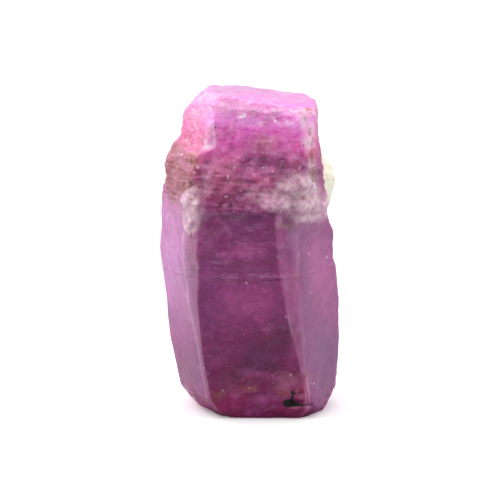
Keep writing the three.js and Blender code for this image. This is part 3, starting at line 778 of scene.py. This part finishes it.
def rubyFinish():
    material, tree = newMaterial("rawRuby")
    place = addNode(tree, "ShaderNodeTexCoord").outputs["Object"]
    masks = {name: attributeOf(tree, name) for name in attributes}
    tones = {name: linear(*colour) for name, colour in finish["tones"].items()}
    amounts = finish["amounts"]

    def times(first, second):
        return mathNode(tree, "MULTIPLY", first, second)

    def either(first, second):
        return mathNode(tree, "MAXIMUM", first, second)

    # the first value where the mask is empty, the second where it is full
    def between(mask, empty, full):
        return mathNode(tree, "MULTIPLY_ADD", mask, full - empty, empty)

    def within(mask, name):
        return spread(tree, masks[mask], *finish["ranges"][name])

    def cloud(name):
        size, detail, rough, start, full = finish["clouds"][name]
        return spread(tree, noiseOf(tree, place, size, detail, rough), start, full)

    def streak(name):
        *lines, start, full = finish["streaks"][name]
        return spread(tree, stripes(tree, place, *lines), start, full)

    def crack(name):
        return cracks(tree, place, *finish["cracks"][name])

    def dotted(name):
        return dots(tree, place, *finish["dots"][name])

    # puts a tone on the colour so far, by its amount where the mask is full
    def lay(colour, mask, tone, amount=1.0, how="MIX"):
        return mixColour(tree, times(mask, amount), colour, tones[tone], how)

    # growth colour by height, its bright block pinks partly painted light for the dimly lit front, darker
    # behind with painted shade, with clouds and veils inside the stone
    ramp = addNode(tree, "ShaderNodeValToRGB", {"Fac": masks["heightShare"]})
    stops = ramp.color_ramp.elements
    while len(stops) < len(finish["zones"]):
        stops.new(0.5)
    for stop, (share, tone) in zip(stops, finish["zones"]):
        stop.position, stop.color = share, linear(*tone)
    below = within("heightShare", "underBlock")
    colour = lay(ramp.outputs["Color"], masks["behind"], "deep", amounts["behind"])
    colour = lay(colour, cloud("veil"), "veil", between(below, *amounts["veil"]))
    colour = lay(colour, cloud("glow"), "glow", amounts["glow"])
    colour = lay(colour, cloud("mottle"), "shade", between(below, *amounts["mottle"]), "MULTIPLY")
    colour = lay(colour, cloud("milk"), "frost", amounts["milk"])

    # level streaks on the front and back, bright lines on the block too, hairs below it
    level = times(streak("level"), masks["lined"])
    colour = lay(colour, level, "shade", amounts["level"], "MULTIPLY")
    bright = either(masks["lined"], times(masks["onBlock"], amounts["brightOnBlock"]))
    colour = lay(colour, times(streak("bright"), bright), "bloom", amounts["bright"])
    colour = lay(colour, times(streak("hairs"), below), "frost", amounts["hairs"])

    # the left is milky, partly painted sheen, with steep scratches, and its block flank gets a painted
    # glow; the right gets painted shade, deepest near the foot, with slanting scratches, and the left is a
    # little darker near the foot
    leftSide, rightSide = within("side", "leftSide"), within("side", "rightSide")
    bloom = times(within("heightShare", "overFoot"), within("heightShare", "underBand"))
    colour = lay(colour, times(leftSide, bloom), "bloom", amounts["leftFrostAndSheen"])
    steep = times(times(streak("steep"), leftSide), below)
    colour = lay(colour, steep, "veil", amounts["steep"])
    low = within("heightShare", "nearFoot")
    dusk = either(times(rightSide, between(low, *amounts["dusk"])),
                  times(leftSide, times(low, amounts["leftDusk"])))
    colour = lay(colour, dusk, "dusk", below)
    colour = lay(colour, times(leftSide, masks["onBlock"]), "glow", amounts["leftFlankGlow"])
    colour = lay(colour, times(streak("slanting"), rightSide), "frost", amounts["slanting"])

    # the soft placed marks, and the painted glow where light comes through
    colour = lay(colour, masks["paintedGlow"], "glow", amounts["paintedGlow"])
    for name in ("violet", "salmon", "smokeAndShadow", "soil", "frost"):
        colour = lay(colour, masks[name], name, amounts[name])

    # rusty cracks run through the soiled stone, and white ones in patches over the block
    rusty = either(masks["soil"], times(masks["salmon"], amounts["salmonCracks"]))
    rusty = times(times(crack("rusty"), rusty), cloud("crackled"))
    colour = lay(colour, rusty, "rust", amounts["rustyCracks"])
    white = times(times(crack("white"), masks["onBlock"]), cloud("patches"))
    colour = lay(colour, white, "frost", amounts["whiteCracks"])

    # broken ridges whiten, partly as painted highlight on the block's terraces, and the hollows get painted
    # shade
    ridges, hollows = (between(masks["onBlock"], *amounts[name]) for name in ("ridges", "hollows"))
    colour = lay(colour, within("ridge", "ridges"), "frost", ridges)
    colour = lay(colour, within("ridge", "hollows"), "shade", hollows, "MULTIPLY")

    # the coats, and the small marks on all of them
    crustTone = mixColour(tree, cloud("crust"), tones["crust"], tones["crustShade"])
    colour = mixColour(tree, times(masks["crust"], amounts["crust"]), colour, crustTone)
    creamTone = mixColour(tree, cloud("cream"), tones["cream"], tones["creamShade"])
    colour = mixColour(tree, masks["cream"], colour, creamTone)
    colour = lay(colour, masks["rust"], "rust", amounts["rust"])
    pits = either(masks["pit"], times(dotted("pits"), masks["broken"]))
    colour = lay(colour, pits, "pit", amounts["pit"])

    # painted glints: a scatter of bright flecks that thickens on broken stone, and the placed ones
    scatter = either(times(dotted("speckleGlints"), amounts["speckleGlints"]),
                     times(dotted("flakes"), either(masks["broken"], masks["onBlock"])))
    glints = times(times(dotted("glints"), masks["glinting"]), amounts["glints"])
    scatter = mathNode(tree, "MAXIMUM", scatter, glints, clamp=True)
    scatter = either(scatter, times(dotted("sugar"), masks["crust"]))
    ragged = mathNode(tree, "MULTIPLY_ADD", noiseOf(tree, place, finish["fleckEdgeSize"], 2.0),
                      amounts["fleckEdge"], masks["glintFleck"])
    placed = times(spread(tree, ragged, *finish["ranges"]["glintFleck"]), masks["glintFleck"])
    scribble = times(times(streak("scribble"), masks["scribble"]), amounts["scribble"])
    glintFlecks = either(either(placed, scribble), times(scatter, amounts["scatter"]))
    colour = lay(colour, glintFlecks, "glintFleck")
    colour = lay(colour, within("ink", "ink"), "ink")

    # dull on the coats and in the black cavity, and a little uneven everywhere
    coat = either(either(masks["crust"], masks["cream"]), times(masks["ink"], finish["inkRoughness"]))
    rough = mathNode(tree, "MULTIPLY_ADD", coat, finish["coatRoughness"],
                     finish["roughness"] - finish["unevenness"] / 2)
    rough = mathNode(tree, "MULTIPLY_ADD", noiseOf(tree, place, finish["unevenSize"]),
                     finish["unevenness"], rough)

    # every flake of broken stone tilts its own way
    flakes = addNode(tree, "ShaderNodeTexVoronoi",
                     {"Vector": place, "Scale": 1 / (finish["flakeSize"] * mm)})
    tilt = vectorNode(tree, "SUBTRACT", flakes.outputs["Color"], (0.5, 0.5, 0.5))
    tilt = vectorNode(tree, "SCALE", tilt, scale=between(masks["broken"], *finish["flakeTilt"]))
    normal = vectorNode(tree, "ADD", addNode(tree, "ShaderNodeNewGeometry").outputs["Normal"], tilt)
    height = mathNode(tree, "MULTIPLY_ADD", level, finish["levelBump"],
                      noiseOf(tree, place, finish["grainSize"], 4.0))
    height = mathNode(tree, "MULTIPLY_ADD", steep, finish["steepBump"], height)
    bump = addNode(tree, "ShaderNodeBump", {
        "Height": height, "Distance": finish["bumpDepth"] * mm, "Strength": finish["bumpStrength"],
        "Normal": vectorNode(tree, "NORMALIZE", normal)})

    shader = addNode(tree, "ShaderNodeBsdfPrincipled", {
        "Base Color": colour, "Roughness": rough, "IOR": finish["refraction"],
        "Subsurface Weight": finish["scatterWeight"], "Subsurface Radius": finish["scatterReach"],
        "Subsurface Scale": finish["scatterDepth"] * mm, "Normal": bump.outputs["Normal"]})
    addNode(tree, "ShaderNodeOutputMaterial", {"Surface": shader.outputs["BSDF"]})
    return material


stone.data.materials.append(rubyFinish())
print("finish made")


studio = {
    "floorSize": 1.2,  # m
    "sheetSeen": 0.95,  # how pale the sheet is to the camera
    "sheetLift": 0.16,  # and how much it glows there
    "sheetBounce": (0.16, 0.9),  # how pale it is to the stone: to the front and back, at the sides
    "wedge": (0.9, 0.2),  # how straight ahead or behind it is fully dim, and no longer dim
    "backdrop": 1.02,  # brightness of the world to the camera
    "fill": 0.12,  # and to the stone
    "lamps": [  # name, place and size in mm, brightness of its cloth
        ("topSoftbox", (-20, 60, 300), (500, 500), 1.55),
        ("leftSoftbox", (-250, 20, 110), (420, 420), 1.75),
        ("rightSoftbox", (250, 20, 110), (420, 420), 1.08),
        ("backSoftbox", (0, 300, 120), (500, 400), 0.5),
        ("frontSoftbox", (-40, -330, 150), (400, 300), 0.9),
    ],
}


def floorMesh():
    half = studio["floorSize"] / 2
    mesh = bpy.data.meshes.new("floor")
    corners = [(-half, -half, 0), (half, -half, 0), (half, half, 0), (-half, half, 0)]
    mesh.from_pydata(corners, [], [(0, 1, 2, 3)])
    return mesh


def grey(value):
    return (value, value, value, 1)


# a plain pale sheet to the camera; the stone sees it dim in a wedge to the front and one to the back
def paperFinish():
    paper, tree = newMaterial("palePaper")
    seen = addNode(tree, "ShaderNodeLightPath").outputs["Is Camera Ray"]
    towards = vectorNode(tree, "NORMALIZE", addNode(tree, "ShaderNodeTexCoord").outputs["Object"])
    spot = addNode(tree, "ShaderNodeSeparateXYZ", {"Vector": towards}).outputs
    sideways = spread(tree, mathNode(tree, "ABSOLUTE", spot["Y"]), *studio["wedge"])
    bounced = mixColour(tree, sideways, *(grey(value) for value in studio["sheetBounce"]))
    shade = mixColour(tree, seen, bounced, grey(studio["sheetSeen"]))
    sheet = addNode(tree, "ShaderNodeBsdfDiffuse", {"Color": shade})
    glow = mathNode(tree, "MULTIPLY", seen, studio["sheetLift"])
    glowing = addNode(tree, "ShaderNodeEmission", {"Strength": glow})
    both = addNode(tree, "ShaderNodeAddShader", {0: sheet.outputs["BSDF"], 1: glowing.outputs["Emission"]})
    addNode(tree, "ShaderNodeOutputMaterial", {"Surface": both.outputs["Shader"]})
    return paper


floor = addObject("floor", floorMesh())
floor.data.materials.append(paperFinish())

world = bpy.data.worlds.new("studio")
bpy.context.scene.world = world
world.use_nodes = True
background = world.node_tree.nodes["Background"]
background.inputs["Color"].default_value = grey(1)
seen = addNode(world.node_tree, "ShaderNodeLightPath").outputs["Is Camera Ray"]
strength = mathNode(world.node_tree, "MULTIPLY_ADD", seen, studio["backdrop"] - studio["fill"],
                    studio["fill"])
world.node_tree.links.new(strength, background.inputs["Strength"])

aim = Vector((0, 0, picture["aimHeight"])) * mm


# a lamp or camera that looks at the middle of the crystal
def addLooking(name, data, spot):
    thing = addObject(name, data)
    thing.location = spot
    thing.rotation_euler = (aim - thing.location).to_track_quat("-Z", "Y").to_euler()
    return thing


for name, spot, size, brightness in studio["lamps"]:
    lamp = bpy.data.lights.new(name, "AREA")
    lamp.shape, lamp.size, lamp.size_y = "RECTANGLE", size[0] * mm, size[1] * mm
    lamp.energy = brightness * math.pi * lamp.size * lamp.size_y
    addLooking(name, lamp, Vector(spot) * mm)

camera = bpy.data.cameras.new("camera")
camera.lens, camera.sensor_width = picture["lens"], picture["sensor"]
eye = addLooking("camera", camera, aim + Vector((0, -math.cos(lift), math.sin(lift))) * rear * mm)
camera.clip_start, camera.clip_end = 0.005, 10
bpy.context.scene.camera = eye
bpy.context.scene.view_settings.view_transform = "Standard"
print("studio set")
